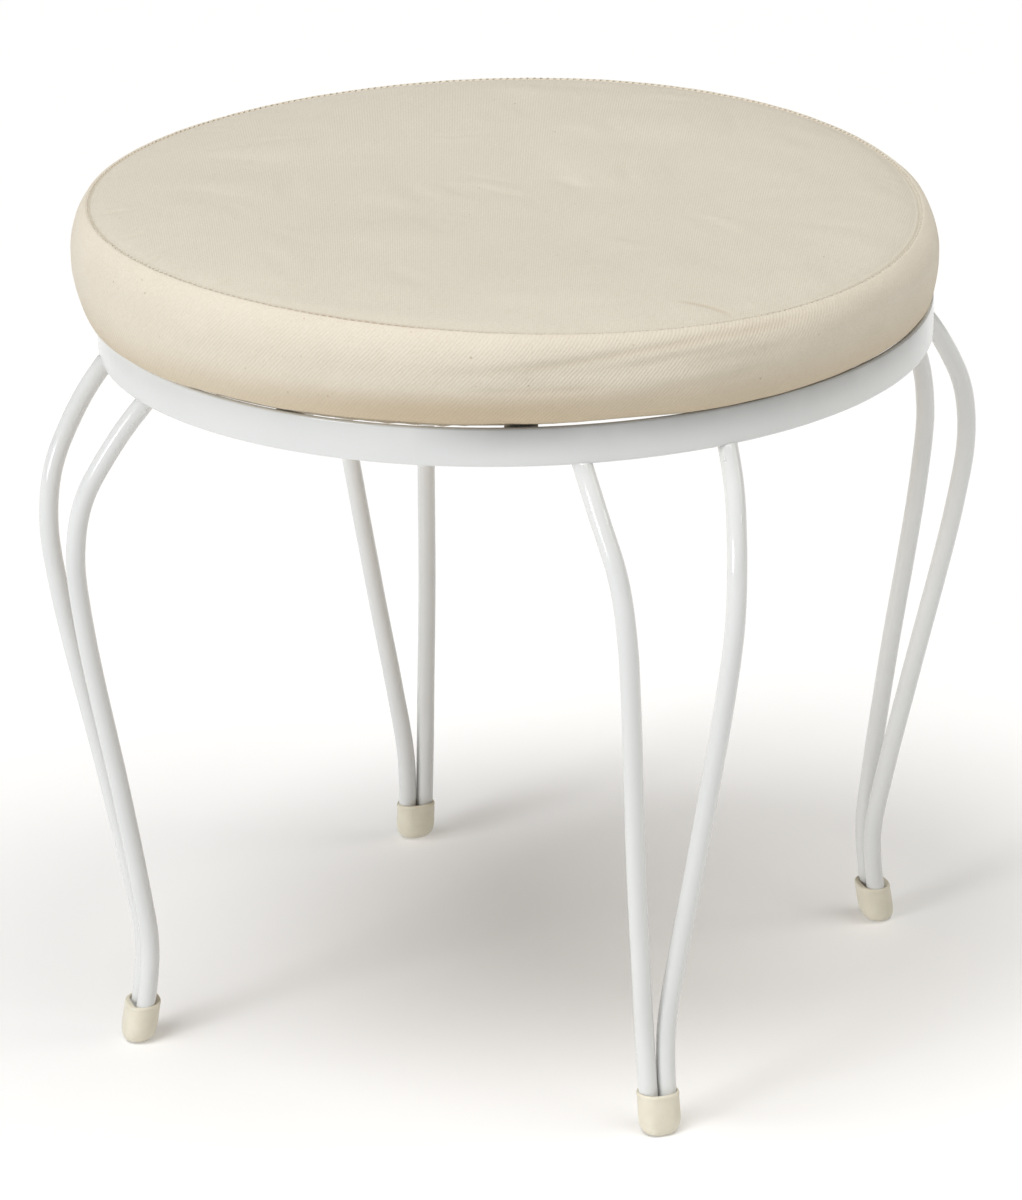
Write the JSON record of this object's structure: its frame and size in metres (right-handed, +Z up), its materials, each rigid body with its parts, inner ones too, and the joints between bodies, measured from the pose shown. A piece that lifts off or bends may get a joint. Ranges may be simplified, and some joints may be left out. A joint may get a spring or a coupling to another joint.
{
  "type": "shower stool",
  "caption": "Round upholstered bathroom stool: cotton box cushion screwed to a flat-bar hoop on bowed double-rod steel legs with soft foot tips.",
  "frame": {"origin": "on the floor under the middle of the hoop", "axes": "+Z up along the hoop's axis; -Y is the front, and the legs stand on the diagonals between X and Y"},
  "size_m": [0.434, 0.434, 0.436],
  "materials": {
    "white_paint": "glossy white paint over steel",
    "cream_vinyl": "satin cream vinyl",
    "zinc_steel": "bright zinc plate",
    "plywood": "raw birch plywood",
    "foam": "open-cell seat foam",
    "cotton_twill": "unbleached cotton twill, matt"
  },
  "bodies": {
    "root": {"hoop_band": "white_paint", "leg_rod_front_right_a": "white_paint", "leg_rod_front_right_b": "white_paint", "leg_rod_front_left_a": "white_paint", "leg_rod_front_left_b": "white_paint", "leg_rod_rear_left_a": "white_paint", "leg_rod_rear_left_b": "white_paint", "leg_rod_rear_right_a": "white_paint", "leg_rod_rear_right_b": "white_paint", "foot_tip_front_right": "cream_vinyl", "foot_tip_front_left": "cream_vinyl", "foot_tip_rear_left": "cream_vinyl", "foot_tip_rear_right": "cream_vinyl", "seat_tab_front_right": "white_paint", "seat_tab_front_left": "white_paint", "seat_tab_rear_left": "white_paint", "seat_tab_rear_right": "white_paint", "seat_washer_front_right": "zinc_steel", "seat_washer_front_left": "zinc_steel", "seat_washer_rear_left": "zinc_steel", "seat_washer_rear_right": "zinc_steel", "seat_screw_front_right": "zinc_steel", "seat_screw_front_left": "zinc_steel", "seat_screw_rear_left": "zinc_steel", "seat_screw_rear_right": "zinc_steel", "seat_board": "plywood", "foam_pad": "foam", "cover_side_band": "cotton_twill", "cover_top_panel": "cotton_twill"}
  },
  "joints": []
}
